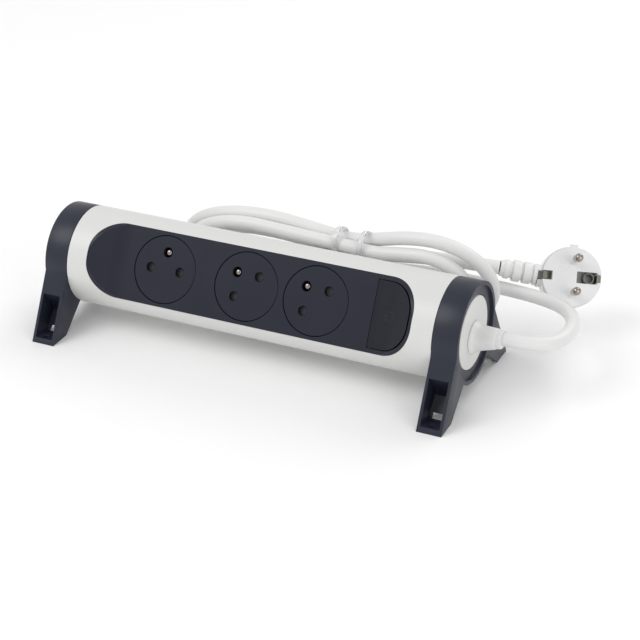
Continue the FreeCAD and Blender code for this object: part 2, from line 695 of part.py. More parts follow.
def strain_relief():
    """A soft white sleeve: a flange inside the cap, a flared foot outside it and a taper."""
    body = new_body("strain_relief")
    profile = new_sketch(body, "XZ_Plane")
    face = "Size.cap_face_x"
    tip = "Size.relief_end"
    bore = "Size.cord_radius + 0.05"
    outline = [("121.5", bore), ("121.5", "9.5"), ("125", "9.5"), ("125", "6.4"), (face, "6.4"),
               (face, "10.2"), (face + " + 0.6", "10.2"), (face + " + 0.6", "7.6"),
               (tip + " - 1.6", "5.9"), (tip, "5.7"), (tip, bore)]
    polygon(profile, outline)
    revolve(body, profile)
    foot = size(face) + 0.6
    dress(body, "Fillet", "2.4", lambda e: abs(e.BoundBox.XMin - foot) < 1e-3
          and abs(e.BoundBox.XMax - foot) < 1e-3 and abs(e.BoundBox.ZMax - 7.6) < 1e-2)
    on_barrel(keep(body, "strain_relief"))


def cord_clamp():
    """Two halves that grip the lead inside the cap, and their screws."""
    bore = doc.addObject("Part::Cylinder", "clamp_bore")
    bore.setExpression("Radius", "Size.cord_radius")
    bore.Height = 10
    bore.Placement = FreeCAD.Placement(V(109, 0, 0), FreeCAD.Rotation(V(0, 1, 0), 90))
    for name, low, high in (("clamp_base", "-18.5", "-0.2"), ("clamp_bar", "0.2", "6")):
        half = block(name + "_box", ("111", "117"), ("-10.5", "10.5"), (low, high))
        holes = hole_rods(name + "_hole", "1.25", [(114, -7.5), (114, 7.5)], "-10", "7")
        on_barrel(keep(cut_from(name + "_cut", half, [bore] + holes), "cord_" + name))
    pair = []
    for y in (-7.5, 7.5):
        one = screw(2.2, 1.5, 1.2, 15.0)
        one.rotate(V(0, 0, 0), V(1, 0, 0), 180)
        one.translate(V(114, y, 6))
        pair.append(one)
    on_barrel(raw("clamp_screws", Part.makeCompound(pair)))


# ---------------------------------------------------------------- tubes along a route
def route_wire(points):
    """Straight runs joined by tangent arcs; returns the wire and the arcs' radii."""
    spots = [V(*p) for p in points]
    edges = []
    radii = []
    start = spots[0]
    for before, corner, after in zip(spots, spots[1:], spots[2:]):
        back = (before - corner).normalize()
        ahead = (after - corner).normalize()
        half_turn = (math.pi - back.getAngle(ahead)) / 2
        setback = 0.45 * min((corner - before).Length, (after - corner).Length)
        radius = setback / math.tan(half_turn)
        radii.append(radius)
        entry = corner + back * setback
        leave = corner + ahead * setback
        bisector = (back + ahead).normalize()
        middle = corner + bisector * (radius / math.cos(half_turn) - radius)
        edges.append(Part.LineSegment(start, entry).toShape())
        edges.append(Part.Arc(entry, middle, leave).toShape())
        start = leave
    edges.append(Part.LineSegment(start, spots[-1]).toShape())
    return Part.Wire(edges), radii


def tube(label, points, radius, placed=True):
    """A round cord or wire along a route, its volume compared with section times length."""
    wire, radii = route_wire(points)
    start = V(*points[0])
    section = Part.Wire(Part.makeCircle(radius, start, V(*points[1]) - start))
    solid = wire.makePipeShell([section], True, False)
    expected = math.pi * radius ** 2 * wire.Length
    print("%s: length %.1f, arc radii %s, volume ratio %.3f"
          % (label, wire.Length, [round(r, 1) for r in radii], solid.Volume / expected))
    thing = raw(label, solid)
    if placed:
        on_barrel(thing)
    return thing


def wiring():
    """The sheathed end of the lead and its cores, inside the barrel."""
    sheath = Part.makeCylinder(size("Size.cord_radius"), size("Size.relief_end") - 106.1,
                               V(106, 0, 0), V(1, 0, 0))
    on_barrel(raw("lead_sheath_end", sheath))
    core = 1.2
    tube("live_wire", [(104.8, -2, 1.2), (102.5, -2.6, 0), (99.8, -4.2, -1.6), (97.4, -4.6, -2.2)],
         core)
    tube("switched_wire", [(78.5, -5, -3), (73, -7.5, -3.8), (66.5, -12.5, -6.2),
                           (60.1, -15, -8.4)], core)
    tube("neutral_wire", [(104.5, 2.6, 0), (103.4, 6, -5), (101.6, 10.5, -12),
                          (97, 13.4, -17.6), (86, 14.8, -18.4), (72, 15.2, -17.8),
                          (60, 15, -16.25)], core)
    tube("earth_wire", [(104.6, -0.4, -2.6), (103.5, 0.4, -8.5), (101.2, 1.2, -15.5),
                        (92, 2, -19.6), (77, 2.2, -19.8), (66, 2.6, -19.3),
                        (60.1, 5.2, -18.5)], core)


# ---------------------------------------------------------------- brackets
def leg_points(side):
    """Side view of one leg, front for -1 and back for 1."""
    reach = "%d * Size.foot_reach" % side
    heel = "%d * (Size.foot_reach - Size.foot_length)" % side
    return [("%d * Size.tube_radius" % side, "Size.axis_height"), (reach, "0"), (heel, "0"),
            ("%d * 18.2" % side, "14.4"), ("%d * 15" % side, "Size.axis_height - 22")]


def leg_pocket_points(side):
    """Side view of the screw pocket: its back wall runs out through the leg's sloping face."""
    return [("%d * 62" % side, "Size.foot_floor"), ("%d * 35.7" % side, "Size.foot_floor"),
            ("%d * 27" % side, "11"), ("%d * 30" % side, "18"),
            ("%d * 36.2" % side, "Size.pocket_top + 0.7"),
            ("%d * 62" % side, "Size.pocket_top + 0.7")]


def bracket(name, side):
    """One end bracket: a ring round the barrel's hub on two splayed, pocketed legs."""
    body = new_body(name)
    inner = "%d * Size.bracket_inner_x" % side
    back = side < 0
    ring = new_sketch(body, "YZ_Plane", inner)
    circle(ring, "0", "Size.axis_height", "Size.tube_radius")
    pad(body, ring, "Size.bracket_width", back=back)
    for leg_side in (-1, 1):
        leg = new_sketch(body, "YZ_Plane", inner)
        polygon(leg, leg_points(leg_side))
        pad(body, leg, "Size.bracket_width", back=back)
    bore = new_sketch(body, "YZ_Plane", inner)
    circle(bore, "0", "Size.axis_height", "Size.bore_radius")
    pocket(body, bore, "Size.lip_start", back=back)
    lip = new_sketch(body, "YZ_Plane", inner)
    circle(lip, "0", "Size.axis_height", "Size.lip_radius")
    pocket(body, lip, "Size.bracket_width + 1", back=back)
    face = new_sketch(body, "YZ_Plane", "%d * (Size.bracket_inner_x + Size.bracket_width)" % side)
    circle(face, "0", "Size.axis_height", "Size.rim_radius")
    pocket(body, face, "Size.rim_depth", back=not back)
    for leg_side in (-1, 1):
        well = new_sketch(body, "YZ_Plane", "%s + %d * Size.foot_wall" % (inner, side))
        polygon(well, leg_pocket_points(leg_side))
        pocket(body, well, "Size.bracket_width - 2 * Size.foot_wall", back=back)
    for leg_side in (-1, 1):
        arch = new_sketch(body, "YZ_Plane",
                          "%s + %d * (Size.bracket_width / 2 - 4)" % (inner, side))
        polygon(arch, [("%d * Size.arch_reach" % leg_side, "-1"), ("%d * 26" % leg_side, "-1"),
                       ("%d * 26" % leg_side, "Size.arch_height"),
                       ("%d * Size.arch_reach" % leg_side, "Size.arch_height")])
        pocket(body, arch, "8", back=back)
    holes = new_sketch(body, "XY_Plane", "-1")
    for level in (-1, 1):
        circle(holes, "%s + %d * Size.bracket_width / 2" % (inner, side),
               "%d * Size.foot_hole_reach" % level, "Size.foot_hole")
    pocket(body, holes, "Size.foot_floor + 2")
    keep(body, name)


# ---------------------------------------------------------------- mains lead, hank and ties
# The lead leaves the relief, swings round in a loop and runs along the back of the hank.
LEAD_ROUTE = [(145, 0, 37.5), (159, 0, 37.4), (171, 7.6, 36.4), (174.5, 24, 35.6),
              (170.5, 42.5, 33.8), (159.5, 57.5, 31.2), (142, 67.5, 28.6), (119, 71.5, 27.6),
              (95, 71, 28.6), (73, 67.0, 31.2), (54, 62.0, 33.8)]
PLUG_ROUTE = [(50, 58.5, 42.6), (66, 61.8, 42.5), (83, 65.4, 42.2), (99.5, 69.0, 41.3),
              (115.2, 72.9, 39.9)]


def outlined_face(points, plane_y):
    """A flat face from (x, height, rounding) corners, in the upright plane at plane_y."""
    spots = [V(x, plane_y, level) for x, level, radius in points]
    count = len(spots)
    marks = []
    for i, (x, level, radius) in enumerate(points):
        corner = spots[i]
        back = (spots[i - 1] - corner).normalize()
        ahead = (spots[(i + 1) % count] - corner).normalize()
        half_turn = (math.pi - back.getAngle(ahead)) / 2
        setback = radius * math.tan(half_turn)
        middle = corner + (back + ahead).normalize() * (radius / math.cos(half_turn) - radius)
        marks.append((corner + back * setback, middle, corner + ahead * setback))
    edges = []
    for i, (entry, middle, leave) in enumerate(marks):
        edges.append(Part.Arc(entry, middle, leave).toShape())
        edges.append(Part.LineSegment(leave, marks[(i + 1) % count][0]).toShape())
    return Part.Face(Part.Wire(edges))


def cord_hank():
    """The tied turns as one closed solid: two upright loops drawn in to a waist."""
    depth = size("Size.hank_depth")
    front = -depth / 2
    outer = outlined_face([(35, 54, 60), (-22, 68, 60), (-84, 68, 31), (-84, 0, 31),
                           (-22, 0, 60), (35, 36, 30), (74, 0, 45), (127, 0, 31),
                           (127, 68, 31), (74, 68, 60)], front)
    left_eye = outlined_face([(-58, 44, 9), (-58, 24, 9), (-22, 24, 9), (-22, 44, 9)], front)
    right_eye = outlined_face([(76, 44, 9), (76, 24, 9), (101, 24, 9), (101, 44, 9)], front)
    solid = outer.cut(left_eye).cut(right_eye).extrude(V(0, depth, 0))
    hank = raw("cord_hank", solid)
    lift = depth / 2 * math.sin(math.radians(size("Size.hank_lean")))
    hank.Placement = FreeCAD.Placement(V(0, size("Size.hank_foot_y"), lift + 0.1),
                                       FreeCAD.Rotation(V(1, 0, 0), size("Size.hank_lean")))
    return hank.Placement


def cord_ties(placement):
    """Two clear bands drawn round the waist of the hank."""
    for name, x in (("cord_tie_left", 26.0), ("cord_tie_right", 42.0)):
        outer = Part.makeBox(3.0, 21.0, 37.0, V(x - 1.5, -10.5, 22.0))
        outer = outer.makeFillet(2.0, [e for e in outer.Edges if abs(e.Length - 3.0) < 1e-6])
        inner = Part.makeBox(4.0, 19.4, 35.4, V(x - 2.0, -9.7, 22.8))
        inner = inner.makeFillet(1.2, [e for e in inner.Edges if abs(e.Length - 4.0) < 1e-6])
        raw(name, outer.cut(inner)).Placement = placement


# ---------------------------------------------------------------- plug
def on_plug(thing):
    """Places a piece drawn with the plug's face in the XY plane and its pins along Z."""
    turn = FreeCAD.Rotation(size("Size.plug_yaw"), size("Size.plug_pitch"), size("Size.plug_roll"))
    spot = V(size("Size.plug_x"), size("Size.plug_y"), size("Size.plug_z"))
    thing.Placement = FreeCAD.Placement(spot, turn)
    thing.setExpression("Placement.Base.x", "Size.plug_x")
    thing.setExpression("Placement.Base.y", "Size.plug_y")
    thing.setExpression("Placement.Base.z", "Size.plug_z")


def plug_body():
    body = new_body("plug_body")
    rim = new_sketch(body, "XY_Plane")
    circle(rim, "0", "0", "Size.plug_radius")
    pad(body, rim, "Size.plug_face", back=True)
    groove = new_sketch(body, "XY_Plane", "-Size.plug_face")
    circle(groove, "0", "0", "Size.plug_radius - 0.6")
    pad(body, groove, "0.6", back=True)
    cover = new_sketch(body, "XY_Plane", "-Size.plug_face - 0.6")
    circle(cover, "0", "0", "Size.plug_radius + 0.5")
    pad(body, cover, "Size.plug_depth - Size.plug_face - 0.6", back=True)
    deep = -size("Size.plug_depth")
    dress(body, "Fillet", "7", lambda e: abs(e.BoundBox.ZMin - deep) < 1e-3
          and abs(e.BoundBox.ZMax - deep) < 1e-3)
    neck = new_sketch(body, "YZ_Plane", "-19")
    circle(neck, "0", "-11", "6.6")
    pad(body, neck, "12")
    ears = new_sketch(body, "XY_Plane")
    for level in (-1, 1):
        polygon(ears, [("-2.2", "%d * 16.5" % level), ("2.2", "%d * 16.5" % level),
                       ("2.2", "%d * (Size.plug_radius + 1.5)" % level),
                       ("-2.2", "%d * (Size.plug_radius + 1.5)" % level)])
    pad(body, ears, "Size.plug_face", back=True)
    clips = new_sketch(body, "XY_Plane", "1")
    for side in (-1, 1):
        polygon(clips, [("%d * 11.4" % side, "-2.6"), ("%d * 19" % side, "-2.6"),
                        ("%d * 19" % side, "2.6"), ("%d * 11.4" % side, "2.6")])
    pocket(body, clips, "11", back=True)
    recess = new_sketch(body, "XY_Plane", "1")
    polygon(recess, [("2.6", "-3.4"), ("14.4", "-3.4"), ("14.4", "3.4"), ("2.6", "3.4")])
    pocket(body, recess, "11", back=True)
    pins = new_sketch(body, "XY_Plane", "1")
    for level in (-1, 1):
        circle(pins, "0", "%d * Size.contact_pitch / 2" % level, "1.95")
    pocket(body, pins, "11", back=True)
    on_plug(keep(body, "plug_body"))


def plug_pins():
    for name, level in (("plug_pin_upper", 1), ("plug_pin_lower", -1)):
        body = new_body(name)
        spot = "%d * Size.contact_pitch / 2" % level
        core = new_sketch(body, "XY_Plane", "-10")
        circle(core, "0", spot, "1.9")
        pad(body, core, "20.5")
        tip = new_sketch(body, "XY_Plane", "10")
        circle(tip, "0", spot, "Size.plug_pin")
        pad(body, tip, "Size.plug_reach - 10")
        reach = size("Size.plug_reach")
        dress(body, "Fillet", "Size.plug_pin - 0.3", lambda e: abs(e.BoundBox.ZMin - reach) < 1e-3
              and abs(e.BoundBox.ZMax - reach) < 1e-3)
        on_plug(keep(body, name))
    shapes = []
    for level in (-1, 1):
        centre = V(0, level * size("Size.contact_pitch") / 2, 0)
        outer = Part.makeCylinder(size("Size.plug_pin"), 10, centre)
        shapes.append(outer.cut(Part.makeCylinder(1.95, 10, centre)))
    on_plug(raw("plug_pin_sleeves", Part.makeCompound(shapes)))


def plug_earth():
    arms = []
    for side in (-1, 1):
        low, high = sorted([side * 14.3, side * 15.1])
        arms.append(block("clip_arm", (low, high), ("-2.2", "2.2"), ("-9.6", "-0.8")))
        low, high = sorted([side * 15.1, side * 16.7])
        arms.append(block("clip_lip", (low, high), ("-2.2", "2.2"), ("-1.6", "-0.8")))
    clips = doc.addObject("Part::Compound", "clip_pair")
    clips.Links = [joined("clip_left", arms[:2]), joined("clip_right", arms[2:])]
    on_plug(keep(clips, "plug_earth_clips"))
    sleeve = rod("earth_sleeve", "3.1", "10", "0", ("-9.8", "-2.6"))
    bore = rod("earth_bore", "2.5", "10", "0", ("-11", "0"))
    on_plug(keep(cut_from("earth_tube", sleeve, [bore]), "plug_earth_contact"))


def plug_relief():
    """The ribbed sleeve between the plug and the lead, drawn along -X from the plug's neck."""
    body = new_body("plug_relief")
    profile = new_sketch(body, "XZ_Plane")
    outline = [(0, 0), (0, 6.4), (-1.5, 6.4), (-1.5, 4.9), (-3.3, 4.9), (-3.3, 6.5), (-6.9, 6.5),
               (-6.9, 4.8), (-8.9, 4.8), (-8.9, 6.2), (-12.3, 6.2), (-12.3, 4.7), (-14.3, 4.7),
               (-14.3, 5.9), (-17.1, 5.9), (-17.1, 4.7), (-21.5, 4.5), (-21.5, 0)]
    polygon(profile, [(str(x), str(r)) for x, r in outline])
    revolve(body, profile)
    on_plug(keep(body, "plug_relief"))
    body.setExpression("Placement.Base.x", None)
    body.setExpression("Placement.Base.y", None)
    body.setExpression("Placement.Base.z", None)
    local = FreeCAD.Placement(V(-19, 0.5, -11), FreeCAD.Rotation(V(0, 0, 1), -6))
    body.Placement = body.Placement.multiply(local)


# ---------------------------------------------------------------- build
front_shell()
rear_shell()
screw_groups()
face_panel()
switch_button()
switch_parts()
for socket_number, socket_x, socket_turn in SOCKETS:
    socket_disc(socket_number, socket_x, socket_turn)
    shutter(socket_number, socket_x, socket_turn)
    earth_pin(socket_number, socket_x, socket_turn)
    contact("live", socket_number, socket_x, -1, socket_turn)
    contact("neutral", socket_number, socket_x, 1, socket_turn)
    disc_spring(socket_number, socket_x)
contact_carrier()
busbar("live", LIVE_SPOTS, 13, -1)
busbar("neutral", NEUTRAL_SPOTS, 13, 1)
earth_busbar()
end_cap("left_end_cap", -1)
end_cap("right_end_cap", 1)
friction_ring("left_friction_ring", -1)
friction_ring("right_friction_ring", 1)
strain_relief()
cord_clamp()
wiring()
bracket("left_bracket", -1)
bracket("right_bracket", 1)
tube("power_cord", LEAD_ROUTE, size("Size.cord_radius"), placed=False)
tube("plug_cord", PLUG_ROUTE, size("Size.cord_radius"), placed=False)
cord_ties(cord_hank())
plug_body()
plug_pins()
plug_earth()
plug_relief()
doc.recompute()

# ---------------------------------------------------------------- check and write
for item in doc.Objects:
    if "Invalid" in item.State or "Error" in item.State:
        raise RuntimeError("%s failed: %s" % (item.Name, item.State))
os.makedirs("parts", exist_ok=True)
for item in parts:
    if item.Shape.isNull() or not item.Shape.isValid() or not item.Shape.Solids:
        raise RuntimeError("%s has no valid solid" % item.Label)
    item.Shape.exportStep(os.path.join("parts", item.Label + ".step"))
print("%d sub-parts written" % len(parts))
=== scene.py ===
import bmesh
import bpy
import math
from mathutils import Matrix, Vector


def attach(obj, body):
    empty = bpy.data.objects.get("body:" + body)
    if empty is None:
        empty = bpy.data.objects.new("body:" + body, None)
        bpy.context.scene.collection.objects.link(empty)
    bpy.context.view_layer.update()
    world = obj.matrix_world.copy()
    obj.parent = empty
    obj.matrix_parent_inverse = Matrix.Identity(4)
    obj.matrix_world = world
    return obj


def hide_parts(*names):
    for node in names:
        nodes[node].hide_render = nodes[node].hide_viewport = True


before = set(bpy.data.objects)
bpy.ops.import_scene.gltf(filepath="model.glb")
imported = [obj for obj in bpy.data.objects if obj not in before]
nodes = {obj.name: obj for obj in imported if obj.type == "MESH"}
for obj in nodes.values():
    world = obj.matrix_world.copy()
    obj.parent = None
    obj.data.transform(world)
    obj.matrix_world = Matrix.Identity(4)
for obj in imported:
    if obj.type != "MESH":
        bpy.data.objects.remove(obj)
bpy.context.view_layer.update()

scene = bpy.context.scene

# ------------------------------------------------------------------ camera
# A long lens looks down on the strip from its right front, a metre away.
# The view is rolled a little, so the strip runs down to the right.
view_azimuth = math.radians(26.11)
view_elevation = math.radians(29.22)
view_roll = math.radians(-1.41)
view_target = Vector((0.03475, 0.0, 0.02495))
view_distance = 0.99912
back = Vector((math.sin(view_azimuth) * math.cos(view_elevation),
               -math.cos(view_azimuth) * math.cos(view_elevation),
               math.sin(view_elevation)))
level_right = Vector((math.cos(view_azimuth), math.sin(view_azimuth), 0.0))
level_up = back.cross(level_right)
right = level_right * math.cos(view_roll) + level_up * math.sin(view_roll)
up = level_up * math.cos(view_roll) - level_right * math.sin(view_roll)
camera_data = bpy.data.cameras.new("camera")
camera_data.lens = 99.3
camera_data.sensor_width = 36.0
camera_data.clip_start = 0.05
camera = bpy.data.objects.new("camera", camera_data)
camera.matrix_world = Matrix.Translation(view_target + back * view_distance) @ Matrix(
    (right, up, back)).transposed().to_4x4()
scene.collection.objects.link(camera)
scene.camera = camera

# ------------------------------------------------------------------ mains lead
# A round three-core lead of white soft plastic, 8 mm thick.  It leaves the right end, swings
# back in a tight loop and runs into a hank of three left and two right turns behind the barrel.


def polymer(name, colour, roughness, grain, grain_depth, mottle=0.04, shine=0.5):
    """Moulded or extruded plastic: fine surface grain, faint mottling and uneven gloss.

    Grain is how many times the texture repeats in a metre, and its depth is in metres."""
    material = bpy.data.materials.new(name)
    material.use_nodes = True
    tree = material.node_tree
    shader = tree.nodes["Principled BSDF"]
    shader.inputs["IOR"].default_value = 1.49
    shader.inputs["Specular IOR Level"].default_value = shine
    place = tree.nodes.new("ShaderNodeTexCoord")
    fine = tree.nodes.new("ShaderNodeTexNoise")
    fine.inputs["Scale"].default_value = grain
    fine.inputs["Detail"].default_value = 3.0
    broad = tree.nodes.new("ShaderNodeTexNoise")
    broad.inputs["Scale"].default_value = 38.0
    broad.inputs["Detail"].default_value = 4.0
    tint = tree.nodes.new("ShaderNodeMix")
    tint.data_type = "RGBA"
    tint.inputs["A"].default_value = [c * (1.0 - mottle) for c in colour] + [1.0]
    tint.inputs["B"].default_value = [min(1.0, c * (1.0 + mottle)) for c in colour] + [1.0]
    gloss = tree.nodes.new("ShaderNodeMapRange")
    gloss.inputs["From Min"].default_value = 0.3
    gloss.inputs["From Max"].default_value = 0.7
    gloss.inputs["To Min"].default_value = roughness - 0.04
    gloss.inputs["To Max"].default_value = roughness + 0.05
    bump = tree.nodes.new("ShaderNodeBump")
    bump.inputs["Strength"].default_value = 0.55
    bump.inputs["Distance"].default_value = grain_depth
    tree.links.new(place.outputs["Object"], fine.inputs["Vector"])
    tree.links.new(place.outputs["Object"], broad.inputs["Vector"])
    tree.links.new(broad.outputs["Fac"], tint.inputs["Factor"])
    tree.links.new(tint.outputs["Result"], shader.inputs["Base Color"])
    tree.links.new(broad.outputs["Fac"], gloss.inputs["Value"])
    tree.links.new(gloss.outputs["Result"], shader.inputs["Roughness"])
    tree.links.new(fine.outputs["Fac"], bump.inputs["Height"])
    tree.links.new(bump.outputs["Normal"], shader.inputs["Normal"])
    return material


hank_foot_y = 59.0
hank_lean = 0.22


def hank_point(x, depth, height):
    """A point of the hank, whose plane leans towards the barrel; all in millimetres."""
    return (x, hank_foot_y + depth - hank_lean * height, height)


sheath = polymer("white_sheath", (0.75, 0.75, 0.745), 0.36, 900.0, 0.00006)
cord_radius = 0.004
# Control points in millimetres: the loop at the exit, the hank's turns as (x, depth, height),
# and the last stretch to the plug.
free_loop = [(145, 0, 37.5), (159, 0, 37.4), (171, 7.6, 36.4), (174.5, 24, 35.6),
             (170.5, 42.5, 33.8), (159.5, 57.5, 31.2), (142, 67.5, 28.6), (119, 71.5, 27.6),
             (95, 71, 28.6), (73, 67, 31.2)]
turns = [
    (46, 4.3, 34), (31, 4.3, 33.2), (14, 4.2, 28), (-8, 4, 17), (-30, 4, 9.5), (-52, 4, 7.8),
    (-69, 4, 12), (-80, 4, 24), (-79, 4, 38), (-66, 4, 49), (-45, 4, 55.8), (-20, 4, 57.6),
    (4, 4.2, 54.5), (20, 4.5, 51.8), (34, 4.5, 51.2), (50, 4.3, 55.5), (68, 4, 60.6),
    (87, 4, 62), (105, 4, 57), (117, 3.8, 45), (119, 3.4, 30.5), (111, 2.6, 17), (96, 1.6, 9.5),
    (79, 0, 10), (62, -2.2, 18), (46, -4, 29), (31, -4.3, 33.5),
    (14, -4.2, 29), (-8, -4, 18.5), (-29, -4, 10.5), (-50, -4, 9), (-65.5, -4, 15.5),
    (-73, -4, 28), (-69.5, -4, 41.5), (-54, -4, 50.3), (-34, -4, 54.2), (-12, -4, 53.2),
    (8, -4.1, 52), (22, -4.3, 51.6), (34, -4.4, 51), (50, -4.3, 49.8), (66, -4, 52.6),
    (82, -4, 54.6), (97, -4, 50.5), (106.5, -4, 39.5), (105, -4, 27), (95, -3.6, 17),
    (80, -3.4, 16.5), (66, -3.6, 23.5), (52, -4.2, 35), (38, -4.4, 42.2), (26, -4.4, 42.5),
    (10, -4.2, 38.5), (-10, -3.8, 29), (-30, -3.2, 19.5), (-49, -2, 18), (-62, -0.5, 28.5),
    (-57, 1.5, 41), (-40, 3.2, 46.6), (-18, 4, 46.6), (2, 4.2, 44.6), (18, 4.4, 43),
    (34, 4.4, 42.8), (50, 6.8, 42.8)]
plug_end = [(66, 61.8, 42.5), (83, 65.4, 42.2), (99.5, 69.0, 41.3), (115.2, 72.9, 39.9)]
route = free_loop + [hank_point(*turn) for turn in turns] + plug_end
lead_curve = bpy.data.curves.new("mains_lead", "CURVE")
lead_curve.dimensions = "3D"
lead_curve.resolution_u = 10
lead_curve.bevel_depth = cord_radius
lead_curve.bevel_resolution = 6
lead_curve.use_fill_caps = True
lead_line = lead_curve.splines.new("NURBS")
lead_line.points.add(len(route) - 1)
for point, spot in zip(lead_line.points, route):
    point.co = [c / 1000.0 for c in spot] + [1.0]
lead_line.order_u = 3
lead_line.use_endpoint_u = True
lead = bpy.data.objects.new("mains_lead", lead_curve)
scene.collection.objects.link(lead)
lead_curve.materials.append(sheath)
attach(lead, "stand")
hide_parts("power_cord", "plug_cord", "cord_hank")

# ------------------------------------------------------------------ strain reliefs
# Soft white sleeves moulded on the lead: a smooth trumpet out of the right end cap, and a
# ribbed sleeve that runs into the side of the plug.


def turned(name, profile, placement, material, sink=None, segments=96):
    """A closed turned piece from (distance along the axis, radius) pairs in millimetres.

    A sink gives how far each ring's middle lies below the axis."""
    mesh = bpy.data.meshes.new(name)
    shape = bmesh.new()
    rings = []
    for along, radius in profile:
        ring = []
        low = sink(along, radius) if sink else 0.0
        for k in range(segments):
            angle = 2.0 * math.pi * k / segments
            spot = Vector((along, radius * math.cos(angle),
                           radius * math.sin(angle) - low)) / 1000.0
            ring.append(shape.verts.new(placement @ spot))
        rings.append(ring)
    for first, second in zip(rings, rings[1:] + rings[:1]):
        for k in range(segments):
            after = (k + 1) % segments
            shape.faces.new((first[k], first[after], second[after], second[k]))
    bmesh.ops.recalc_face_normals(shape, faces=shape.faces)
    shape.to_mesh(mesh)
    shape.free()
    mesh.shade_smooth()
    mesh.set_sharp_from_angle(angle=math.radians(40))
    mesh.materials.append(material)
    piece = bpy.data.objects.new(name, mesh)
    scene.collection.objects.link(piece)
    return piece


cap_face_x = 127.5
relief_tip_x = 144.5
tip_sag, foot_sag = 0.5, 2.8
relief_profile = [(121.6, 4.02), (121.6, 9.3), (124.9, 9.3), (124.9, 6.3), (127.4, 6.3),
                  (127.52, 9.3), (127.8, 9.55), (128.2, 9.5), (128.7, 9.1), (129.4, 8.4),
                  (130.4, 7.75), (131.6, 7.35), (133.5, 7.0), (136.0, 6.6), (138.6, 6.2),
                  (140.9, 5.85), (141.15, 5.7), (141.3, 5.45), (142.6, 5.38), (143.9, 5.3),
                  (144.3, 5.15), (144.5, 4.8), (144.5, 4.02)]


def relief_sink(along, radius):
    """The relief's outside sits lower at its foot than at its tip; its bore stays true."""
    inside_cap = along < cap_face_x - 0.05
    in_bore = radius < 4.5
    if inside_cap or in_bore:
        return 0.0
    share = (relief_tip_x - along) / (relief_tip_x - cap_face_x)
    return tip_sag + (foot_sag - tip_sag) * share


axis_height = 0.0375
axis_place = Matrix.Translation((0.0, 0.0, axis_height))
end_relief = turned("end_relief", relief_profile, axis_place, sheath, relief_sink)
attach(end_relief, "barrel")
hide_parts("strain_relief")

# The plug's own frame: its face is the XY plane, its pins point along Z and its lead leaves
# along -X, a little to one side.
plug_seat = (0.1564, 0.0807, 0.0386)
plug_turn, plug_pitch, plug_roll = 25.5, 6.8, 57.3
plug_place = (Matrix.Translation(plug_seat)
              @ Matrix.Rotation(math.radians(plug_turn), 4, "Z")
              @ Matrix.Rotation(math.radians(plug_pitch), 4, "Y")
              @ Matrix.Rotation(math.radians(plug_roll), 4, "X"))
sleeve_root = (-0.019, 0.0005, -0.011)
sleeve_turn = -6.0
relief_place = (plug_place @ Matrix.Translation(sleeve_root)
                @ Matrix.Rotation(math.radians(sleeve_turn), 4, "Z"))
sleeve_profile = [(0.0, 3.9), (0.0, 6.3), (-1.2, 6.35), (-1.9, 5.9), (-2.5, 4.9), (-15.4, 4.75),
                  (-15.9, 4.9), (-16.15, 5.45), (-16.6, 5.6), (-18.6, 5.5), (-19.1, 5.3),
                  (-19.4, 4.75), (-20.8, 4.6), (-21.3, 4.45), (-21.5, 4.2), (-21.5, 3.9)]
plug_sleeve = turned("plug_sleeve", sleeve_profile, relief_place, sheath)
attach(plug_sleeve, "stand")
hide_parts("plug_relief")


def new_tree(name, sizes, takes=None):
    """An empty node tree with named inputs; gives the tree, its two ends and its inputs."""
    tree = bpy.data.node_groups.new(name, "GeometryNodeTree")
    tree.is_modifier = True
    if takes:
        tree.interface.new_socket(name=takes, in_out="INPUT",
                                  socket_type="NodeSocketGeometry")
    sockets = {}
    for label, kind in sizes:
        sockets[label] = tree.interface.new_socket(name=label, in_out="INPUT",
                                                   socket_type="NodeSocket" + kind).identifier
    tree.interface.new_socket(name="Piece", in_out="OUTPUT", socket_type="NodeSocketGeometry")
    return tree, tree.nodes.new("NodeGroupInput"), tree.nodes.new("NodeGroupOutput"), sockets


def finish_tree(tree, geometry, given, ends):
    """The last steps of a tree: smooth shading, real geometry and its material."""
    smooth = tree.nodes.new("GeometryNodeSetShadeSmooth")
    real = tree.nodes.new("GeometryNodeRealizeInstances")
    coat = tree.nodes.new("GeometryNodeSetMaterial")
    tree.links.new(geometry, smooth.inputs["Geometry"])
    tree.links.new(smooth.outputs["Geometry"], real.inputs["Geometry"])
    tree.links.new(real.outputs["Geometry"], coat.inputs["Geometry"])
    tree.links.new(given.outputs["Material"], coat.inputs["Material"])
    tree.links.new(coat.outputs["Geometry"], ends.inputs["Piece"])


def swept_section(tree, path, across, given, width, height, edge_steps):
    """Sweeps a round-edged oblong along a curve, its width lying in the direction across."""
    heading = tree.nodes.new("GeometryNodeSetCurveNormal")
    heading.mode = "FREE"
    heading.inputs["Normal"].default_value = across
    oblong = tree.nodes.new("GeometryNodeCurvePrimitiveQuadrilateral")
    rounding = tree.nodes.new("GeometryNodeFilletCurve")
    rounding.mode = "POLY"
    rounding.inputs["Count"].default_value = edge_steps
    sweep = tree.nodes.new("GeometryNodeCurveToMesh")
    tree.links.new(path, heading.inputs["Curve"])
    tree.links.new(heading.outputs["Curve"], sweep.inputs["Curve"])
    tree.links.new(given.outputs[width], oblong.inputs["Width"])
    tree.links.new(given.outputs[height], oblong.inputs["Height"])
    tree.links.new(oblong.outputs["Curve"], rounding.inputs["Curve"])
    tree.links.new(given.outputs["Edge Radius"], rounding.inputs["Radius"])
    tree.links.new(rounding.outputs["Curve"], sweep.inputs["Profile Curve"])
    return sweep.outputs["Mesh"]


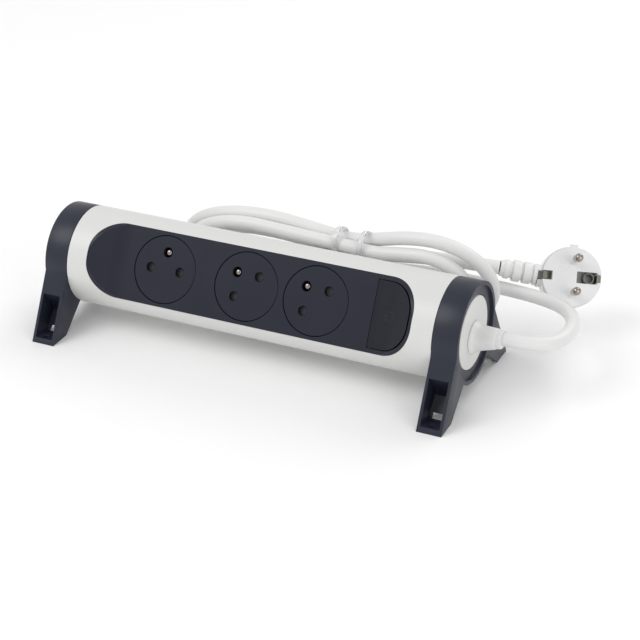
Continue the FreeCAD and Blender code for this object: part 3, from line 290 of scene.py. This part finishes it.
def grown(name, base_mesh, tree, sockets, values, placement=None):
    """Runs a tree on a mesh and keeps the result as a plain piece at the origin."""
    carrier = bpy.data.objects.new(name, base_mesh)
    scene.collection.objects.link(carrier)
    modifier = carrier.modifiers.new("tree", "NODES")
    modifier.node_group = tree
    for label, value in values.items():
        modifier[sockets[label]] = value
    made = bpy.data.meshes.new_from_object(
        carrier.evaluated_get(bpy.context.evaluated_depsgraph_get()))
    carrier.modifiers.clear()
    carrier.data = made
    if placement:
        made.transform(placement)
    shape = bmesh.new()
    shape.from_mesh(made)
    bmesh.ops.remove_doubles(shape, verts=shape.verts, dist=1e-7)
    bmesh.ops.recalc_face_normals(shape, faces=shape.faces)
    shape.to_mesh(made)
    shape.free()
    made.shade_smooth()
    made.set_sharp_from_angle(angle=math.radians(50))
    return carrier


rib_tree, rib_given, rib_end, rib_sockets = new_tree("rib_row", [
    ("Rib Count", "Int"), ("Rib Pitch", "Float"), ("Rib Width", "Float"),
    ("Rib Radius", "Float"), ("Rib Depth", "Float"), ("Edge Radius", "Float"),
    ("Material", "Material")])
rib_circle = rib_tree.nodes.new("GeometryNodeCurvePrimitiveCircle")
rib_circle.inputs["Resolution"].default_value = 96
rib_solid = swept_section(rib_tree, rib_circle.outputs["Curve"], (0.0, 0.0, 1.0), rib_given,
                          "Rib Width", "Rib Depth", 5)
rib_half = rib_tree.nodes.new("ShaderNodeMath")
rib_half.operation = "MULTIPLY"
rib_half.inputs[1].default_value = 0.5
rib_middle = rib_tree.nodes.new("ShaderNodeMath")
rib_middle.operation = "SUBTRACT"
rib_step = rib_tree.nodes.new("ShaderNodeCombineXYZ")
rib_places = rib_tree.nodes.new("GeometryNodeMeshLine")
rib_row = rib_tree.nodes.new("GeometryNodeInstanceOnPoints")
rib_row.inputs["Rotation"].default_value = (0.0, math.pi / 2.0, 0.0)
for start, finish in (
        (rib_given.outputs["Rib Depth"], rib_half.inputs[0]),
        (rib_given.outputs["Rib Radius"], rib_middle.inputs[0]),
        (rib_half.outputs[0], rib_middle.inputs[1]),
        (rib_middle.outputs[0], rib_circle.inputs["Radius"]),
        (rib_given.outputs["Rib Pitch"], rib_step.inputs["X"]),
        (rib_given.outputs["Rib Count"], rib_places.inputs["Count"]),
        (rib_step.outputs["Vector"], rib_places.inputs["Offset"]),
        (rib_places.outputs["Mesh"], rib_row.inputs["Points"]),
        (rib_solid, rib_row.inputs["Instance"])):
    rib_tree.links.new(start, finish)
finish_tree(rib_tree, rib_row.outputs["Instances"], rib_given, rib_end)
sleeve_ribs = grown("plug_sleeve_ribs", bpy.data.meshes.new("rib_base"), rib_tree, rib_sockets,
                    {"Rib Count": 2, "Rib Pitch": -0.0062, "Rib Width": 0.0049,
                     "Rib Radius": 0.0063, "Rib Depth": 0.0019, "Edge Radius": 0.0006,
                     "Material": sheath},
                    relief_place @ Matrix.Translation((-0.0055, 0.0, 0.0)))
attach(sleeve_ribs, "stand")

# ------------------------------------------------------------------ cord ties
# Two clear soft-plastic bands, each drawn round all six strands at the waist of the hank.
# They stand a little proud above the bundle, where the band springs back.

clear_band = polymer("clear_band", (0.93, 0.94, 0.95), 0.16, 240.0, 0.0002, 0.02)
clear_shader = clear_band.node_tree.nodes["Principled BSDF"]
clear_shader.inputs["Transmission Weight"].default_value = 0.72
clear_shader.inputs["IOR"].default_value = 1.42
# One band as (depth, height) on the hank, in millimetres.
tie_outline = [(-9.4, 42), (-9.5, 50), (-8.2, 56), (-3.5, 59.6), (2.5, 59.8), (7.6, 57),
               (9.6, 51), (9.6, 42), (9.4, 34), (6.5, 28.6), (0, 27.4), (-6.3, 28.4), (-9.2, 34)]
tie_tree, tie_given, tie_end, tie_sockets = new_tree("band_round_path", [
    ("Band Width", "Float"), ("Band Thickness", "Float"), ("Edge Radius", "Float"),
    ("Material", "Material")], takes="Path")
path_as_curve = tie_tree.nodes.new("GeometryNodeMeshToCurve")
tie_tree.links.new(tie_given.outputs["Path"], path_as_curve.inputs["Mesh"])
tie_solid = swept_section(tie_tree, path_as_curve.outputs["Curve"], (1.0, 0.0, 0.0), tie_given,
                          "Band Width", "Band Thickness", 3)
finish_tree(tie_tree, tie_solid, tie_given, tie_end)
for tie_name, tie_x in (("left", 26.0), ("right", 42.0)):
    tie_curve = bpy.data.curves.new("tie_path", "CURVE")
    tie_curve.dimensions = "3D"
    tie_curve.resolution_u = 8
    tie_line = tie_curve.splines.new("NURBS")
    tie_line.points.add(len(tie_outline) - 1)
    for point, (depth, height) in zip(tie_line.points, tie_outline):
        point.co = [c / 1000.0 for c in hank_point(tie_x, depth, height)] + [1.0]
    tie_line.order_u = 3
    tie_line.use_cyclic_u = True
    tie_path = bpy.data.objects.new("tie_path", tie_curve)
    scene.collection.objects.link(tie_path)
    path_mesh = bpy.data.meshes.new_from_object(
        tie_path.evaluated_get(bpy.context.evaluated_depsgraph_get()))
    bpy.data.objects.remove(tie_path)
    tie = grown("tie_" + tie_name, path_mesh, tie_tree, tie_sockets,
                {"Band Width": 0.0034, "Band Thickness": 0.0012, "Edge Radius": 0.0004,
                 "Material": clear_band})
    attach(tie, "stand")
    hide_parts("cord_tie_" + tie_name)

# ------------------------------------------------------------------ end brackets
# Dark blue-grey mouldings: a ring that carries the barrel's hub on two splayed legs, each leg
# hollowed for a foot screw.  Their edges are rounded as a moulded edge is.


def softened(name, node, width, material, steps=3):
    """A copy of a CAD piece with its sharp edges rounded."""
    mesh = nodes[node].data.copy()
    mesh.materials.clear()
    mesh.materials.append(material)
    shape = bmesh.new()
    shape.from_mesh(mesh)
    bmesh.ops.remove_doubles(shape, verts=shape.verts, dist=2e-6)
    bmesh.ops.dissolve_limit(shape, angle_limit=math.radians(0.6), verts=shape.verts,
                             edges=shape.edges)
    shape.to_mesh(mesh)
    shape.free()
    for polygon in mesh.polygons:
        polygon.material_index = 0
    rough = bpy.data.objects.new(name, mesh)
    scene.collection.objects.link(rough)
    bevel = rough.modifiers.new("edge", "BEVEL")
    bevel.width = width
    bevel.segments = steps
    bevel.limit_method = "ANGLE"
    bevel.angle_limit = math.radians(32)
    bevel.use_clamp_overlap = True
    done = bpy.data.meshes.new_from_object(
        rough.evaluated_get(bpy.context.evaluated_depsgraph_get()))
    rough.modifiers.clear()
    rough.data = done
    done.shade_smooth()
    done.set_sharp_from_angle(angle=math.radians(38))
    return rough


bracket_plastic = polymer("bracket_plastic", (0.018, 0.021, 0.036), 0.34, 2600.0, 0.00003,
                          mottle=0.06, shine=0.38)
for side_name in ("left", "right"):
    bracket = softened(side_name + "_end_bracket", side_name + "_bracket", 0.0005,
                       bracket_plastic)
    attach(bracket, "stand")
    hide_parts(side_name + "_bracket")

# ------------------------------------------------------------------ barrel
# The white barrel: two half shells screwed together from behind, and a cap turned to fit each
# bracket.  All are the same satin white moulding.


def finish_node(node, material):
    """Gives a CAD piece its finish."""
    piece = nodes[node]
    piece.data.materials.clear()
    piece.data.materials.append(material)
    for polygon in piece.data.polygons:
        polygon.material_index = 0


white_shell = polymer("white_shell", (0.67, 0.67, 0.655), 0.34, 2200.0, 0.000035, 0.015)
for node in ("front_shell", "rear_shell", "left_end_cap", "right_end_cap"):
    finish_node(node, white_shell)

# ------------------------------------------------------------------ face panel
# The dark panel let into the barrel, with a guide ring behind each socket disc.
# It rises at both ends to the barrel's crown.

panel_plastic = polymer("panel_plastic", (0.010, 0.012, 0.024), 0.33, 3000.0, 0.000025,
                        mottle=0.05, shine=0.36)
finish_node("face_panel", panel_plastic)

# ------------------------------------------------------------------ socket discs
# Sprung discs of the same dark plastic, flush with the panel until a plug pushes them in, and
# the dark shutters that close their contact holes from behind.

disc_plastic = polymer("disc_plastic", (0.010, 0.012, 0.024), 0.35, 3000.0, 0.000025,
                       mottle=0.05, shine=0.34)
shutter_plastic = polymer("shutter_plastic", (0.02, 0.02, 0.022), 0.5, 1500.0, 0.00003)
for number in "123":
    finish_node("socket_disc_" + number, disc_plastic)
    finish_node("shutter_" + number, shutter_plastic)

# ------------------------------------------------------------------ switch
# A large dark button that rocks about its straight left edge, with an open-ring symbol
# moulded into its face, over a closed switch case with a push rod.

button_plastic = polymer("button_plastic", (0.007, 0.008, 0.015), 0.30, 3000.0, 0.000025,
                         mottle=0.05, shine=0.34)
finish_node("switch_button", button_plastic)
case_plastic = polymer("case_plastic", (0.55, 0.54, 0.52), 0.5, 1600.0, 0.00004)
finish_node("switch_body", case_plastic)
finish_node("switch_plunger", case_plastic)
face_tilt = math.radians(29.0)
barrel_place = axis_place @ Matrix.Rotation(math.pi / 2.0 - face_tilt, 4, "X")


def button_height(x):
    """Height of the button's face above the barrel's axis at x, in millimetres."""
    flat_height, crease_start, crease_radius, crease_run = 19.4, 77.5, 25.0, 12.1
    run = min(max(x - crease_start, 0.0), crease_run)
    return flat_height + crease_radius - math.sqrt(crease_radius ** 2 - run ** 2)


symbol_ink = polymer("symbol_gloss", (0.008, 0.009, 0.012), 0.22, 1500.0, 0.00001)
ring_x, ring_radius = 85.6, 2.7
gap_half, ring_steps = 38.0, 40
ring_line = []
for k in range(ring_steps + 1):
    turned_by = (360.0 - 2.0 * gap_half) * k / ring_steps
    angle = math.radians(-180.0 + gap_half + turned_by)
    ring_line.append((ring_x + ring_radius * math.cos(angle), ring_radius * math.sin(angle)))
symbol_sunk = 0.12
stroke_line = [(ring_x - 3.5 + 0.5 * k, 0.0) for k in range(7)]
symbol_curve = bpy.data.curves.new("power_symbol", "CURVE")
symbol_curve.dimensions = "3D"
symbol_curve.bevel_depth = 0.00026
symbol_curve.bevel_resolution = 2
symbol_curve.use_fill_caps = True
for stroke in (ring_line, stroke_line):
    stroke_spline = symbol_curve.splines.new("POLY")
    stroke_spline.points.add(len(stroke) - 1)
    for point, (x, y) in zip(stroke_spline.points, stroke):
        spot = barrel_place @ (Vector((x, y, button_height(x) - symbol_sunk)) / 1000.0)
        point.co = (spot.x, spot.y, spot.z, 1.0)
symbol_path = bpy.data.objects.new("symbol_path", symbol_curve)
scene.collection.objects.link(symbol_path)
symbol_mesh = bpy.data.meshes.new_from_object(
    symbol_path.evaluated_get(bpy.context.evaluated_depsgraph_get()))
bpy.data.objects.remove(symbol_path)
symbol_mesh.materials.clear()
symbol_mesh.materials.append(symbol_ink)
symbol_mesh.shade_smooth()
symbol = bpy.data.objects.new("button_symbol", symbol_mesh)
scene.collection.objects.link(symbol)
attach(symbol, "switch_button")

# ------------------------------------------------------------------ pins, contacts and springs
# Nickel-plated earth pins stand behind the holes; brass clips, strips, springs and screws are
# behind the panel, on a pale carrier.


def metal(name, colour, roughness, scratch):
    """Drawn or plated metal with fine scratches and slight tarnish."""
    material = bpy.data.materials.new(name)
    material.use_nodes = True
    tree = material.node_tree
    shader = tree.nodes["Principled BSDF"]
    shader.inputs["Metallic"].default_value = 1.0
    place = tree.nodes.new("ShaderNodeTexCoord")
    noise = tree.nodes.new("ShaderNodeTexNoise")
    noise.inputs["Scale"].default_value = scratch
    noise.inputs["Detail"].default_value = 5.0
    tint = tree.nodes.new("ShaderNodeMix")
    tint.data_type = "RGBA"
    tint.inputs["A"].default_value = [c * 0.9 for c in colour] + [1.0]
    tint.inputs["B"].default_value = list(colour) + [1.0]
    gloss = tree.nodes.new("ShaderNodeMapRange")
    gloss.inputs["From Min"].default_value = 0.3
    gloss.inputs["From Max"].default_value = 0.7
    gloss.inputs["To Min"].default_value = roughness * 0.8
    gloss.inputs["To Max"].default_value = roughness * 1.3
    bump = tree.nodes.new("ShaderNodeBump")
    bump.inputs["Strength"].default_value = 0.3
    bump.inputs["Distance"].default_value = 0.00002
    tree.links.new(place.outputs["Object"], noise.inputs["Vector"])
    tree.links.new(noise.outputs["Fac"], tint.inputs["Factor"])
    tree.links.new(tint.outputs["Result"], shader.inputs["Base Color"])
    tree.links.new(noise.outputs["Fac"], gloss.inputs["Value"])
    tree.links.new(gloss.outputs["Result"], shader.inputs["Roughness"])
    tree.links.new(noise.outputs["Fac"], bump.inputs["Height"])
    tree.links.new(bump.outputs["Normal"], shader.inputs["Normal"])
    return material


nickel = metal("nickel_plate", (0.36, 0.32, 0.29), 0.14, 900.0)
dull_nickel = metal("dull_nickel", (0.20, 0.20, 0.17), 0.42, 700.0)
brass = metal("pressed_brass", (0.80, 0.62, 0.30), 0.28, 600.0)
steel = metal("zinc_steel", (0.62, 0.63, 0.65), 0.30, 800.0)
finish_node("plug_pin_upper", nickel)
finish_node("plug_pin_lower", nickel)
finish_node("plug_earth_clips", dull_nickel)
finish_node("plug_earth_contact", dull_nickel)
for number in "123":
    finish_node("earth_pin_" + number, nickel)
    finish_node("disc_spring_" + number, steel)
    finish_node("live_contact_" + number, brass)
    finish_node("neutral_contact_" + number, brass)
for node in ("live_busbar", "neutral_busbar", "earth_busbar"):
    finish_node(node, brass)
for node in ("shell_screws", "carrier_screws", "clamp_screws"):
    finish_node(node, steel)

# ------------------------------------------------------------------ inside the barrel
# The carrier and cord clamp, the rubber rings that hold the barrel's angle, and the cores of
# the lead in their own colours.

for node in ("contact_carrier", "cord_clamp_base", "cord_clamp_bar"):
    finish_node(node, case_plastic)
ring_rubber = polymer("ring_rubber", (0.02, 0.02, 0.02), 0.6, 1200.0, 0.00005)
finish_node("left_friction_ring", ring_rubber)
finish_node("right_friction_ring", ring_rubber)
finish_node("lead_sheath_end", sheath)
for node, colour in (("live_wire", (0.18, 0.07, 0.03)), ("switched_wire", (0.18, 0.07, 0.03)),
                     ("neutral_wire", (0.03, 0.12, 0.45)), ("earth_wire", (0.20, 0.38, 0.05))):
    finish_node(node, polymer(node + "_core", colour, 0.35, 900.0, 0.00004))

# ------------------------------------------------------------------ plug
# An angled white plug with rounded edges, and white sleeves on its bare-tipped pins.

plug_white = polymer("plug_white", (0.76, 0.76, 0.765), 0.30, 1800.0, 0.00004, 0.015)
finish_node("plug_body", plug_white)
finish_node("plug_pin_sleeves", plug_white)

# ------------------------------------------------------------------ floor and light
# A pale seamless floor under broad soft lights, the main one high on the left.

floor_mesh = bpy.data.meshes.new("floor")
floor_half = 6.0
floor_mesh.from_pydata([(-floor_half, -floor_half, 0), (floor_half, -floor_half, 0),
                        (floor_half, floor_half, 0), (-floor_half, floor_half, 0)],
                       [], [(0, 1, 2, 3)])
floor = bpy.data.objects.new("floor", floor_mesh)
scene.collection.objects.link(floor)
floor_paint = polymer("pale_floor", (0.96, 0.96, 0.96), 0.6, 60.0, 0.00002, 0.002)
floor_mesh.materials.append(floor_paint)

world = bpy.data.worlds.new("studio")
world.use_nodes = True
world.node_tree.nodes["Background"].inputs["Color"].default_value = (1.0, 1.0, 1.0, 1.0)
world.node_tree.nodes["Background"].inputs["Strength"].default_value = 0.73
scene.world = world
for light_name, spot, aim, width, power in (
        ("key", (-0.9, -0.9, 1.5), (0.0, 0.0, 0.03), 1.2, 11.0),
        ("rim", (0.5, 1.2, 1.2), (0.05, 0.0, 0.03), 1.0, 6.0),
        ("fill", (1.3, -0.8, 0.6), (0.1, 0.0, 0.03), 0.9, 3.5)):
    light_data = bpy.data.lights.new(light_name, "AREA")
    light_data.shape = "DISK"
    light_data.size = width
    light_data.energy = power
    light = bpy.data.objects.new(light_name, light_data)
    towards = Vector(aim) - Vector(spot)
    light.matrix_world = (Matrix.Translation(spot)
                          @ towards.to_track_quat("-Z", "Y").to_matrix().to_4x4())
    scene.collection.objects.link(light)
scene.view_settings.view_transform = "Standard"
scene.view_settings.look = "None"
